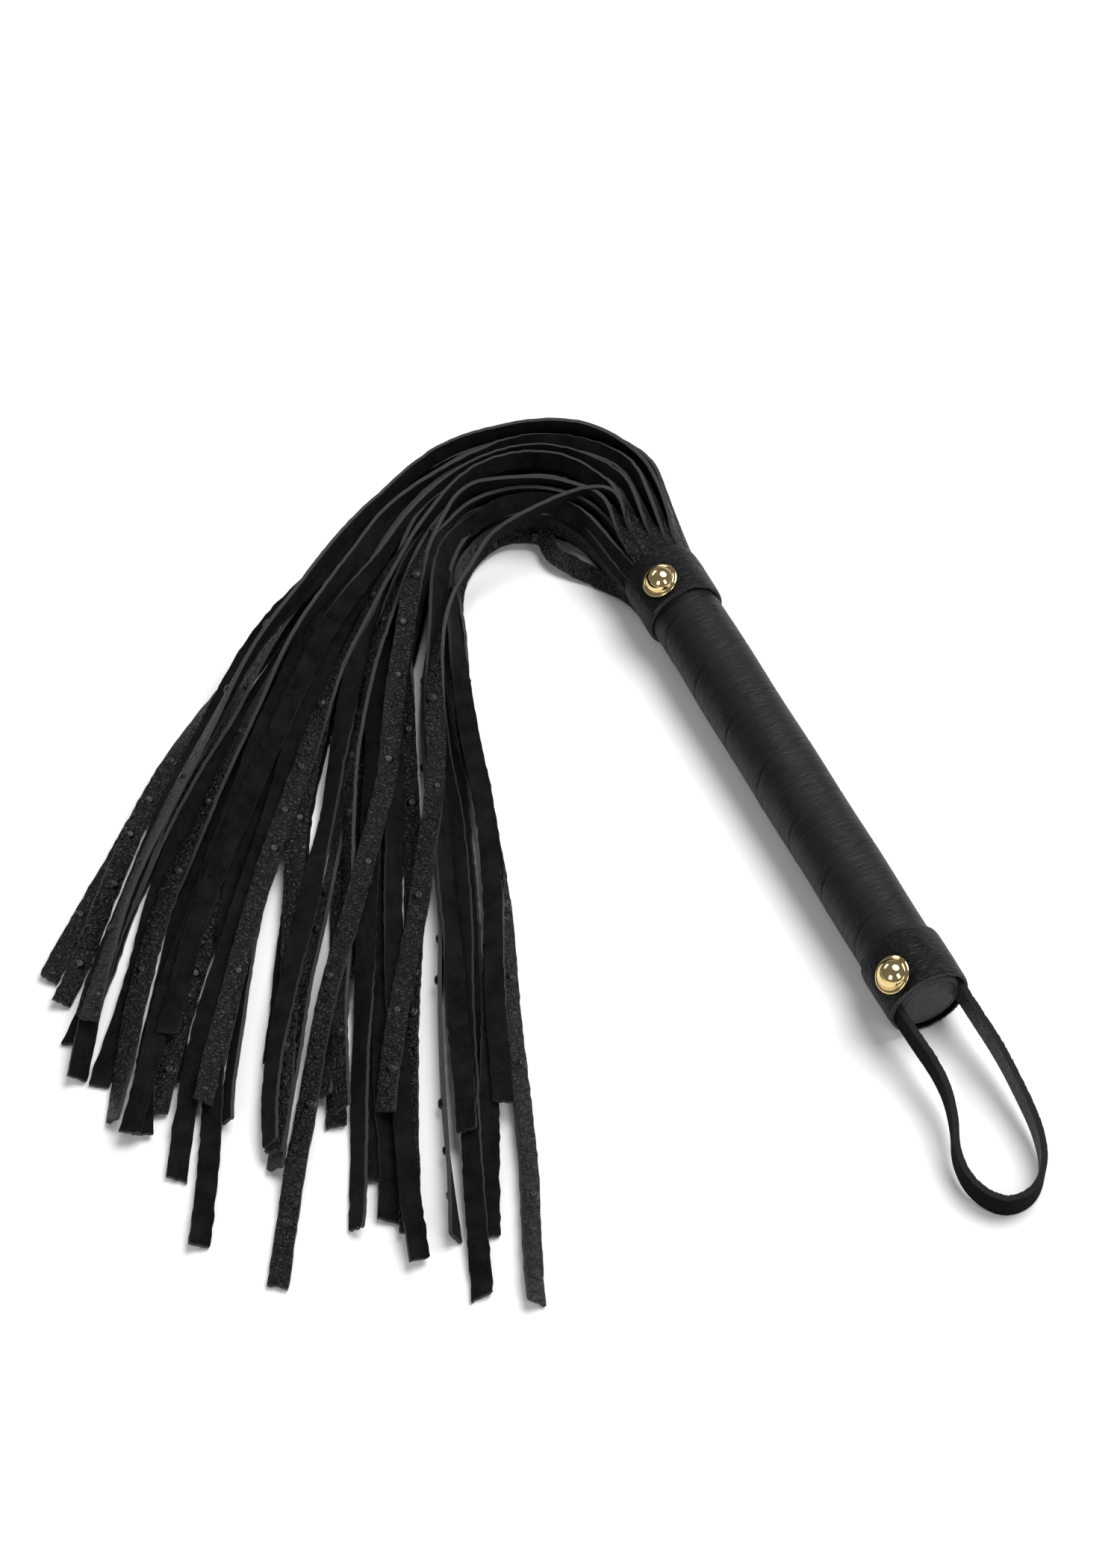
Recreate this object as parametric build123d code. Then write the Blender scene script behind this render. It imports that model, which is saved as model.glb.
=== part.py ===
from build123d import *
import os
from math import ceil, cos, degrees, hypot, pi, radians, sin, sqrt, tan

# A short whip: a leather-wrapped grip, a wrist loop, and a fall of cut leather thongs.
# It lies on a table. Z is up, the grip lies along Y with its mouth towards +Y, and the
# origin is on the table, under the middle of the grip, loop and fall root together.

# ---- driving dimensions, mm ----
CORE_RADIUS = 10.8
WRAP_RADIUS = 12.5
COLLAR_RADIUS = 14.3
COLLAR_CLEARANCE = 0.05
FLAP_THICKNESS = 1.3
HANDLE_LENGTH = 196.0
UPPER_COLLAR_LENGTH = 20.0
LOWER_COLLAR_LENGTH = 20.5
NECK_RADIUS = 8.0
NECK_LENGTH = 18.0
MOUTH_RECESS = 1.0
DISC_RADIUS = 11.3
DISC_THICKNESS = 2.2
DISC_RECESS = 0.6

RIVET_FLANGE_RADIUS = 6.1
RIVET_FLANGE_THICKNESS = 0.7
RIVET_DOME_RADIUS = 5.0
RIVET_DOME_HEIGHT = 4.3
RIVET_POST_RADIUS = 1.6
RIVET_POST_LENGTH = 7.0
RIVET_SEAT = 14.7
UPPER_RIVET_TILT = 26.0
LOWER_RIVET_TILT = 42.0
UPPER_RIVET_FROM_MOUTH = 12.5
LOWER_RIVET_FROM_BUTT = 7.8
FLAP_BEYOND_RIVET = 34.0

STRAP_HEIGHT = 8.5
STRAP_THICKNESS = 2.0
STRAP_CENTRE_X = 10.9
STRAP_ANCHOR = 17.0
STRAP_STUB = 2.0
LOOP_GAP = 0.4
LOOP_REACH = 72.0
LOOP_FLOOR_GAP = 0.05

ROOT_RADIUS = 19.0
ROOT_CHORD = 8.0
ROOT_GAP = 0.5
ROOT_LOW = 1.0
ROOT_HIGH = 26.4
ROOT_EDGE = 2.0

THONG_WIDTH = 6.5
THONG_THICKNESS = 1.3
ROOT_LEVEL_PITCH = 5.0
PILE_GAP = 0.2

# The loop's centre line, across and beyond the butt, from one leg to the other.
LOOP_ROUTE = [(-8.8, -26), (-12.2, -40), (-17.4, -50), (-17.8, -61.5), (-11.5, -71),
              (-1, -71), (6.8, -63.5), (10.6, -52), (11.6, -39), (12.2, -24)]

# The two border routes of the fall in plan, from the root's flat face: the inner one
# turns tightly beside the mouth, and the outer one swings wide before it fans out.
INNER_ROUTE = [(-15.4, 8), (-19.5, 16), (-27.5, 24), (-38, 27.5), (-50, 25.5),
               (-60.5, 16.5), (-68, 2.5), (-84.5, -38.5), (-94.5, -82), (-107, -125),
               (-122, -167.5), (-135.5, -210.5), (-151, -253)]
OUTER_ROUTE = [(15.4, 8), (15.5, 27), (5, 47.5), (-15, 61.5), (-45.5, 63.5),
               (-77.5, 52.5), (-108, 29.5), (-147, 8), (-183, -20), (-215.5, -51),
               (-245.5, -84.5), (-272, -121), (-295, -160)]
LAST_ARCH_POINT = 5

# Each thong: its lane at the root and its place in the fan, both from 0, on the inner
# border, to 1, on the outer one, how many points of the border it reaches, and how far
# it bows sideways on the way. Levels lie on each other from the table up, and inside
# one level nothing crosses.
LEVELS = [
    [(0.00, 0.01, 12.1, 2), (0.12, 0.08, 11.0, 3), (0.25, 0.30, 11.3, -6),
     (0.38, 0.37, 10.9, -5), (0.50, 0.50, 10.5, -6), (0.62, 0.58, 11.0, -4),
     (0.75, 0.71, 10.7, 3), (0.88, 0.91, 10.5, 2), (1.00, 1.01, 10.0, 3)],
    [(0.01, 0.08, 11.6, 6), (0.13, 0.15, 11.7, -2), (0.25, 0.27, 11.6, -4),
     (0.36, 0.39, 10.7, 4), (0.48, 0.47, 11.3, 7), (0.60, 0.62, 10.6, 5),
     (0.71, 0.71, 11.0, 5), (0.83, 0.83, 10.8, -4), (0.95, 0.96, 10.2, -3)],
    [(0.03, 0.04, 10.6, 5), (0.15, 0.11, 12.1, 6), (0.26, 0.23, 11.7, 5),
     (0.38, 0.32, 11.7, 4), (0.49, 0.47, 11.2, -5), (0.61, 0.60, 12.0, -6),
     (0.72, 0.75, 11.2, -4), (0.84, 0.91, 10.3, 3)],
    [(0.06, 0.12, 10.9, -4), (0.18, 0.23, 11.9, -6), (0.29, 0.36, 10.8, -5),
     (0.41, 0.51, 11.2, 5), (0.52, 0.67, 11.5, 6), (0.64, 0.76, 11.2, 7),
     (0.75, 0.89, 10.8, -3)],
    [(0.09, 0.27, 10.8, 6), (0.21, 0.46, 12.2, 6), (0.32, 0.62, 10.9, -6),
     (0.43, 0.72, 10.4, -5), (0.54, 0.80, 11.1, -8), (0.65, 0.89, 10.4, -5)],
]

# ---- places that follow from them ----
AXIS_Z = COLLAR_RADIUS
OVERALL = LOOP_REACH + HANDLE_LENGTH + ROOT_GAP + ROOT_RADIUS + ROOT_CHORD
BUTT_Y = LOOP_REACH - OVERALL / 2
MOUTH_Y = BUTT_Y + HANDLE_LENGTH
PIVOT_Y = MOUTH_Y + ROOT_GAP + ROOT_RADIUS
ROOT_FACE_Y = PIVOT_Y + ROOT_CHORD
LOOP_HINGE_Y = BUTT_Y - STRAP_STUB - LOOP_GAP - STRAP_HEIGHT / 2
WRAP_END_Y = MOUTH_Y - NECK_LENGTH
UPPER_RIVET_Y = MOUTH_Y - UPPER_RIVET_FROM_MOUTH
LOWER_RIVET_Y = BUTT_Y + LOWER_RIVET_FROM_BUTT
TUBE_RADIUS = sqrt(THONG_WIDTH * THONG_THICKNESS / pi)


def along_grip(radius, y_low, y_high):
    """A round bar on the grip's axis."""
    plane = Plane(origin=(0, y_low, AXIS_Z), x_dir=(1, 0, 0), z_dir=(0, 1, 0))
    return plane * extrude(Circle(radius), y_high - y_low)


def rivet_plane(y, tilt, radius):
    """A plane square to the rivet, at a distance from the grip's axis."""
    outward = Vector(-sin(radians(tilt)), 0, cos(radians(tilt)))
    return Plane(origin=Vector(0, y, AXIS_Z) + outward * radius, x_dir=(0, 1, 0), z_dir=outward)


def rivet_cap(y, tilt):
    """A domed cap on a thin flange."""
    rim = Rectangle(RIVET_FLANGE_RADIUS, RIVET_FLANGE_THICKNESS, align=(Align.MIN, Align.MIN))
    ball_radius = (RIVET_DOME_RADIUS ** 2 + RIVET_DOME_HEIGHT ** 2) / (2 * RIVET_DOME_HEIGHT)
    ball = Pos(0, RIVET_FLANGE_THICKNESS + RIVET_DOME_HEIGHT - ball_radius) * Circle(ball_radius)
    above = Pos(0, RIVET_FLANGE_THICKNESS) * Rectangle(
        2 * RIVET_DOME_RADIUS, 2 * RIVET_DOME_HEIGHT, align=(Align.MIN, Align.MIN))
    profile = rim + (ball & above)
    return rivet_plane(y, tilt, RIVET_SEAT) * revolve(Plane.XZ * profile, Axis.Z)


def rivet_post(y, tilt):
    """The post that runs from the cap through the leather into the core."""
    return rivet_plane(y, tilt, RIVET_SEAT) * extrude(Circle(RIVET_POST_RADIUS), -RIVET_POST_LENGTH)


def rivet_seat(y, tilt):
    """The pocket that the cap presses into the collar."""
    return rivet_plane(y, tilt, RIVET_SEAT) * extrude(
        Circle(RIVET_FLANGE_RADIUS + COLLAR_CLEARANCE), 2 * FLAP_THICKNESS)


def collar(y_low, y_high, rivet_y, tilt):
    """A strap wrapped once round the grip, whose end lies over its start."""
    inner_radius = WRAP_RADIUS + COLLAR_CLEARANCE
    band = along_grip(COLLAR_RADIUS, y_low, y_high) - along_grip(inner_radius, y_low, y_high)
    edge = radians(90 + tilt + FLAP_BEYOND_RIVET)
    shift = FLAP_THICKNESS / 2
    length = y_high - y_low
    face = Plane(origin=(0, y_high, AXIS_Z), x_dir=(1, 0, 0), z_dir=(0, -1, 0))
    outline = Pos(shift * cos(edge), shift * sin(edge)) * Circle(COLLAR_RADIUS + shift)
    side = Rot(0, 0, degrees(edge)) * Rectangle(
        4 * COLLAR_RADIUS, 2 * COLLAR_RADIUS, align=(Align.CENTER, Align.MAX))
    flap = face * extrude((outline & side) - Circle(inner_radius), length)
    post = rivet_post(rivet_y, tilt)
    return band + flap - post - rivet_seat(rivet_y, tilt)


def strap_slot(side, y_low, y_high):
    """The block that one leg of the loop fills under the lower collar."""
    return Pos(side * STRAP_CENTRE_X, (y_low + y_high) / 2, AXIS_Z) * Box(
        STRAP_THICKNESS, y_high - y_low, STRAP_HEIGHT)


def handle_nodes():
    """The grip's pieces, which never move against each other."""
    anchor_y = BUTT_Y + STRAP_ANCHOR
    disc_low = BUTT_Y + DISC_RECESS
    disc_high = disc_low + DISC_THICKNESS
    slots = strap_slot(-1, BUTT_Y - STRAP_STUB, anchor_y) + strap_slot(1, BUTT_Y - STRAP_STUB, anchor_y)
    upper_post = rivet_post(UPPER_RIVET_Y, UPPER_RIVET_TILT)
    lower_post = rivet_post(LOWER_RIVET_Y, LOWER_RIVET_TILT)
    core = along_grip(CORE_RADIUS, disc_high, WRAP_END_Y)
    core += along_grip(NECK_RADIUS, WRAP_END_Y, MOUTH_Y - MOUTH_RECESS)
    wrap = along_grip(WRAP_RADIUS, disc_high, WRAP_END_Y)
    wrap -= along_grip(CORE_RADIUS, disc_high, WRAP_END_Y)
    header = along_grip(WRAP_RADIUS, WRAP_END_Y, MOUTH_Y - MOUTH_RECESS)
    header -= along_grip(NECK_RADIUS, WRAP_END_Y, MOUTH_Y - MOUTH_RECESS)
    upper_start = MOUTH_Y - UPPER_COLLAR_LENGTH
    lower_end = BUTT_Y + LOWER_COLLAR_LENGTH
    return {
        "handle_core": core - slots - upper_post - lower_post,
        "handle_wrap": wrap - slots - lower_post,
        "falls_header": header - upper_post,
        "butt_disc": along_grip(DISC_RADIUS, disc_low, disc_high) - slots,
        "upper_collar": collar(upper_start, MOUTH_Y, UPPER_RIVET_Y, UPPER_RIVET_TILT),
        "lower_collar": collar(BUTT_Y, lower_end, LOWER_RIVET_Y, LOWER_RIVET_TILT) - slots,
        "upper_rivet_cap": rivet_cap(UPPER_RIVET_Y, UPPER_RIVET_TILT),
        "upper_rivet_post": upper_post,
        "lower_rivet_cap": rivet_cap(LOWER_RIVET_Y, LOWER_RIVET_TILT),
        "lower_rivet_post": lower_post,
        "loop_anchor_left": strap_slot(-1, BUTT_Y - STRAP_STUB, anchor_y),
        "loop_anchor_right": strap_slot(1, BUTT_Y - STRAP_STUB, anchor_y),
    }


def corner_radii(points):
    """Each corner's largest arc: 0.45 of the shorter run over the tangent of half the turn."""
    radii = []
    for before, here, after in zip(points, points[1:], points[2:]):
        first = Vector(*here) - Vector(*before)
        second = Vector(*after) - Vector(*here)
        half_turn = radians(first.get_angle(second)) / 2
        radii.append(0.45 * min(first.length, second.length) / tan(half_turn))
    return radii


def wrist_loop():
    """The strap stands on edge, and slopes from the butt down to the table."""
    start = LOOP_HINGE_Y - BUTT_Y
    left = (-STRAP_CENTRE_X, 0)
    right = (STRAP_CENTRE_X, 0)
    points = [left] + [(x, y - start) for x, y in LOOP_ROUTE] + [right]
    path = FilletPolyline(*points, radius=corner_radii([(x, y, 0) for x, y in points]))
    line = offset(path, STRAP_THICKNESS / 2, side=Side.BOTH, kind=Kind.INTERSECTION)
    strap = extrude(make_face(line), STRAP_HEIGHT / 2, both=True)
    for x in (-STRAP_CENTRE_X, STRAP_CENTRE_X):
        strap += Pos(x, 0, 0) * Rot(0, 90, 0) * Cylinder(STRAP_HEIGHT / 2, STRAP_THICKNESS)
    reach = LOOP_REACH + start
    drop = AXIS_Z - STRAP_HEIGHT / 2 - LOOP_FLOOR_GAP
    slope = degrees(drop / reach)
    return Pos(0, LOOP_HINGE_Y, AXIS_Z) * Rot(slope, 0, 0) * strap


def falls_root():
    """The bunched start of the thongs, round about the pivot so that it turns freely."""
    height = ROOT_HIGH - ROOT_LOW
    drum = Pos(0, PIVOT_Y, ROOT_LOW) * extrude(Circle(ROOT_RADIUS), height)
    drum = fillet(drum.edges(), ROOT_EDGE)
    beyond = Pos(0, ROOT_FACE_Y + ROOT_RADIUS, AXIS_Z) * Box(
        4 * ROOT_RADIUS, 2 * ROOT_RADIUS, 4 * ROOT_RADIUS)
    return drum - beyond


def between(place, index):
    """The point at a place between the two borders, at a whole or part index."""
    low = min(int(index), len(INNER_ROUTE) - 2)
    part = index - low
    x_in, y_in = (a + (b - a) * part for a, b in zip(INNER_ROUTE[low], INNER_ROUTE[low + 1]))
    x_out, y_out = (a + (b - a) * part for a, b in zip(OUTER_ROUTE[low], OUTER_ROUTE[low + 1]))
    return x_in + (x_out - x_in) * place, PIVOT_Y + y_in + (y_out - y_in) * place


def plan_route(lane, fan, reach, bow):
    """A thong's points in plan, from the root to its cut end."""
    last_whole = ceil(reach) - 2
    indices = list(range(last_whole + 1)) + [(last_whole + reach) / 2, reach]
    points = []
    for index in indices:
        spread = max(0.0, (index - LAST_ARCH_POINT) / (reach - LAST_ARCH_POINT))
        x, y = between(lane + (fan - lane) * spread * spread * (3 - 2 * spread), index)
        points.append((x + bow * sin(pi * spread) ** 2, y))
    return points


class Pile:
    """The thongs laid so far, as the height of their tops over a grid of the table."""

    def __init__(self):
        self.step = TUBE_RADIUS / 2
        self.tops = {}

    def samples(self, a, b):
        """Points along one run, as grid cells with how far along they are."""
        count = max(2, ceil(hypot(b[0] - a[0], b[1] - a[1]) / self.step))
        for i in range(count + 1):
            t = i / count
            yield t, (round((a[0] + (b[0] - a[0]) * t) / self.step),
                      round((a[1] + (b[1] - a[1]) * t) / self.step))

    def floor_under(self, a, b):
        """The highest top within reach of a tube over this run."""
        return max(self.tops.get(cell, 0.0) for _, cell in self.samples(a, b))

    def add(self, points):
        """Raises the grid where this thong lies."""
        reach = ceil((2 * TUBE_RADIUS + PILE_GAP) / self.step) + 1
        for a, b in zip(points, points[1:]):
            for t, (i, j) in self.samples(a, b):
                top = a[2] + (b[2] - a[2]) * t + TUBE_RADIUS
                for di in range(-reach, reach + 1):
                    for dj in range(-reach, reach + 1):
                        if di * di + dj * dj <= reach * reach:
                            cell = (i + di, j + dj)
                            self.tops[cell] = max(self.tops.get(cell, 0.0), top)


def thong_route(pile, level, plan):
    """Stands the arch on its level, and lets the rest down onto what lies under it."""
    start = ROOT_LOW + ROOT_EDGE + level * ROOT_LEVEL_PITCH + TUBE_RADIUS / 2
    resting = TUBE_RADIUS + level * (2 * TUBE_RADIUS + PILE_GAP)
    points = []
    for i, (x, y) in enumerate(plan):
        if i <= LAST_ARCH_POINT:
            sink = min(1.0, i / LAST_ARCH_POINT)
            height = start + (resting - start) * sink * sink * (3 - 2 * sink)
        else:
            floors = [pile.floor_under(plan[i - 1], (x, y))]
            if i + 1 < len(plan):
                floors.append(pile.floor_under((x, y), plan[i + 1]))
            height = max(floors) + (PILE_GAP if max(floors) > 0 else 0.0) + TUBE_RADIUS
        points.append((x, y, height))
    return points


def thong(points):
    """A plain tube with a thong's cross-section, trimmed flush with the root's face."""
    radii = corner_radii(points)
    first = (Vector(*points[1]) - Vector(*points[0])).normalized()
    inside = Vector(*points[0]) - first * TUBE_RADIUS
    path = FilletPolyline(inside, *points[1:], radius=radii)
    start = Plane(origin=path @ 0, z_dir=path % 0)
    tube = sweep(start * Circle(TUBE_RADIUS), path)
    behind = Pos(0, ROOT_FACE_Y - ROOT_RADIUS / 2, AXIS_Z) * Box(
        3 * ROOT_RADIUS, ROOT_RADIUS, 4 * ROOT_RADIUS)
    return tube - behind, tube.volume / path.length


def thong_nodes():
    """All thongs, laid level by level."""
    nodes = {}
    pile = Pile()
    smallest = []
    for level, rows in enumerate(LEVELS):
        laid = []
        for lane, fan, reach, bow in rows:
            points = thong_route(pile, level, plan_route(lane, fan, reach, bow))
            radii = corner_radii(points)
            solid, section = thong(points)
            name = f"thong_{len(nodes) + 1:02d}"
            nodes[name] = solid
            laid.append(points)
            smallest.append(min(radii))
            print(name, "length", round(solid.volume / THONG_WIDTH / THONG_THICKNESS),
                  "volume over length", round(section, 3), "radii", [round(r) for r in radii])
        for points in laid:
            pile.add(points)
    print("thongs", len(nodes), "smallest radius", round(min(smallest), 1),
          "section", round(THONG_WIDTH * THONG_THICKNESS, 3))
    return nodes


def main():
    os.makedirs("parts", exist_ok=True)
    nodes = handle_nodes()
    nodes["wrist_loop"] = wrist_loop()
    nodes["falls_root"] = falls_root()
    nodes.update(thong_nodes())
    for name, shape in nodes.items():
        export_step(shape, f"parts/{name}.step")


main()
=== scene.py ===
from math import ceil, cos, pi, radians, sin

import bmesh
import bpy
import numpy as np
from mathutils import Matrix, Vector, noise


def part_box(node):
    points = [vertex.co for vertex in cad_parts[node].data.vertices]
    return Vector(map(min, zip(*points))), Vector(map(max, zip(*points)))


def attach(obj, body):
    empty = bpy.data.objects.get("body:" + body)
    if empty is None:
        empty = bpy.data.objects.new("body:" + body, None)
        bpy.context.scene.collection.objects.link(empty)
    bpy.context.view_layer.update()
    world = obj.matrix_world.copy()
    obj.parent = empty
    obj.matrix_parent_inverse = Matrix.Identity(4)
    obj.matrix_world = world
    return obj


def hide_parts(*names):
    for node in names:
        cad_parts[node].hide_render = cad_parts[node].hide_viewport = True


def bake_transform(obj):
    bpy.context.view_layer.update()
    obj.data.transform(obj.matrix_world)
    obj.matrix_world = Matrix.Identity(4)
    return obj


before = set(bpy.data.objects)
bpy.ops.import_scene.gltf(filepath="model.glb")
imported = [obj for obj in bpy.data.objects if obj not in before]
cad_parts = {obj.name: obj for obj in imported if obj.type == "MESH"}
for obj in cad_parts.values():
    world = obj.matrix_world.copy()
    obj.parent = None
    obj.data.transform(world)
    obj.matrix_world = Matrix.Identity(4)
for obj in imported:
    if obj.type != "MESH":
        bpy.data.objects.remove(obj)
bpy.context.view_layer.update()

# ---- driving sizes, in metres ----
THONG_WIDTH = 0.0065
THONG_THICKNESS = 0.0013
THONG_STEP = 0.0022            # from one ring of a strip to the next
MOUTH_FILL = 0.0116            # the mouth's radius that the thongs' centre lines fill
LOWEST_LEVEL = 0.0038          # the height of the lowest level's centre line at the root
LEVEL_STEP = 0.005
ROOT_CHORD = 0.008             # from the fall's hinge to the root's face
REST_GAP = 0.0004              # between a strip and the table
STRIP_GAP = 0.0002             # between a strip and those under it
STRAP_HEIGHT = 0.0085
STRAP_THICKNESS = 0.002
STRAP_STEP = 0.0007
STRAP_CENTRE_X = 0.0109
LOOP_REACH = 0.072

# ---- places that the frame gives, in metres ----
MOUTH_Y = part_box("upper_collar")[1].y
BUTT_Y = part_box("lower_collar")[0].y
ROOT_FACE_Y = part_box("falls_root")[1].y
PIVOT_Y = ROOT_FACE_Y - ROOT_CHORD
WRAP_LOW, WRAP_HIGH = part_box("handle_wrap")
AXIS_Z = (WRAP_LOW.z + WRAP_HIGH.z) / 2
WRAP_RADIUS = (WRAP_HIGH.z - WRAP_LOW.z) / 2
LOOP_HINGE_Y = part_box("wrist_loop")[1].y - STRAP_HEIGHT / 2
UPPER_RIVET = (MOUTH_Y - 0.0125, radians(26))      # along the grip, and the tilt from the top
LOWER_RIVET = (BUTT_Y + 0.0078, radians(42))
UP = np.array([0.0, 0.0, 1.0])

# How far the shown side may lie from flat where it ends up on top, in degrees.
REST_LEANS = [0, 4, 10, 22, 34, 48, -8, -20]

# The two border routes of the fall in plan, from the pivot: the inner one turns tightly
# beside the mouth, and the outer one swings wide before it fans out.
INNER_ROUTE = [(-0.0154, 0.008), (-0.0195, 0.016), (-0.0275, 0.024), (-0.038, 0.0275),
               (-0.050, 0.0255), (-0.0605, 0.0165), (-0.068, 0.0025), (-0.0845, -0.0385),
               (-0.0945, -0.082), (-0.107, -0.125), (-0.122, -0.1675), (-0.1355, -0.2105),
               (-0.151, -0.253)]
OUTER_ROUTE = [(0.0154, 0.008), (0.0155, 0.027), (0.005, 0.0475), (-0.015, 0.0615),
               (-0.0455, 0.0635), (-0.0775, 0.0525), (-0.108, 0.0295), (-0.147, 0.008),
               (-0.183, -0.020), (-0.2155, -0.051), (-0.2455, -0.0845), (-0.272, -0.121),
               (-0.295, -0.160)]
LAST_ARCH_POINT = 5

# The bundle loosens past the root: how much wider each level's lanes lie there, and how
# far the outermost lanes swell out from the middle of the turn.
LEVEL_SPREAD = [1.0, 1.03, 1.12, 1.25, 1.36]
OUTER_SWELL = 0.0062
TURN_MIDDLE = np.array([-0.045, PIVOT_Y])

# How far each route point strays at random, in the arch and in the fan, and the share of
# that which the outer lanes keep.
ARCH_JITTER = 0.0013
FAN_JITTER = 0.0006
OUTER_LANE = 0.9
OUTER_CALM = 0.3

# Thongs that stray from the bundle: the shifts of their route points, by the point's index.
STRAYS = {
    1: {-1: (-0.002, 0.002, -0.003), 0: (-0.0095, 0.000, 0.002), 1: (-0.0065, -0.002, 0.002),
        2: (0.002, -0.003, 0.001)},
    34: {-3: (0.006, 0, 0.0015), -2: (0.006, 0, 0.0015), -1: (0.008, 0, 0.0015),
         0: (0.0105, 0.001, 0.0018), 1: (0.0085, 0.0005, 0.0020), 2: (0.0070, -0.0065, 0.002),
         3: (0.0010, -0.0118, 0.001), 4: (0.001, -0.0125, -0.002), 5: (0.004, -0.010, -0.003),
         6: (0.005, -0.004, -0.002)},
}

# Each thong, level by level: its lane at the root, its place in the fan, how many points
# of the border it reaches, how far it bows sideways, and which side ends up on top: the
# grain, the suede, or neither where it stays on its edge or leans.
LEVELS = [
    [(0.00, 0.01, 12.1, 0.002, "lean"), (0.12, 0.08, 11.0, 0.003, "suede"),
     (0.25, 0.30, 11.3, -0.006, "suede"), (0.38, 0.37, 10.9, -0.005, "grain"),
     (0.50, 0.50, 10.5, -0.006, "suede"), (0.62, 0.58, 11.0, -0.004, "suede"),
     (0.75, 0.71, 10.7, 0.003, "suede"), (0.88, 0.91, 10.5, 0.002, "suede"),
     (1.00, 1.01, 10.0, 0.003, "grain")],
    [(0.01, 0.08, 11.6, 0.006, "suede"), (0.13, 0.15, 11.7, -0.002, "edge"),
     (0.25, 0.27, 11.6, -0.004, "suede"), (0.36, 0.39, 10.7, 0.004, "grain"),
     (0.48, 0.47, 11.3, 0.007, "grain"), (0.60, 0.62, 10.6, 0.005, "grain"),
     (0.71, 0.71, 11.0, 0.005, "grain"), (0.83, 0.83, 10.8, -0.004, "suede"),
     (0.95, 0.96, 10.2, -0.003, "grain")],
    [(0.03, 0.04, 10.6, 0.005, "suede"), (0.15, 0.11, 12.1, 0.006, "suede"),
     (0.26, 0.23, 11.7, 0.005, "grain"), (0.38, 0.32, 11.7, 0.004, "suede"),
     (0.49, 0.47, 11.2, -0.005, "grain"), (0.61, 0.60, 12.0, -0.006, "suede"),
     (0.72, 0.75, 11.2, -0.004, "suede"), (0.84, 0.91, 10.3, 0.003, "grain")],
    [(0.06, 0.12, 10.9, -0.004, "suede"), (0.18, 0.23, 11.9, -0.006, "suede"),
     (0.29, 0.36, 10.8, -0.005, "grain"), (0.41, 0.51, 11.2, 0.005, "suede"),
     (0.52, 0.67, 11.5, 0.006, "suede"), (0.64, 0.76, 11.2, 0.007, "suede"),
     (0.75, 0.89, 10.8, -0.003, "suede")],
    [(0.09, 0.27, 10.8, 0.006, "grain"), (0.21, 0.46, 12.2, 0.006, "grain"),
     (0.32, 0.62, 10.9, -0.006, "grain"), (0.43, 0.72, 10.4, -0.005, "suede"),
     (0.54, 0.80, 11.1, -0.008, "grain"), (0.65, 0.89, 10.4, -0.005, "grain")],
]

# The loop's centre line, across and beyond the butt, from one leg to the other.
LOOP_ROUTE = [(-0.0088, -0.026), (-0.0122, -0.040), (-0.0174, -0.050), (-0.0178, -0.0615),
              (-0.0115, -0.071), (-0.001, -0.071), (0.0068, -0.0635), (0.0106, -0.052),
              (0.0116, -0.039), (0.0122, -0.024)]


def smooth(low, high, value):
    """0 below low, 1 above high, and an S-curve between them."""
    t = np.clip((np.asarray(value, float) - low) / (high - low), 0, 1)
    return t * t * (3 - 2 * t)


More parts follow.
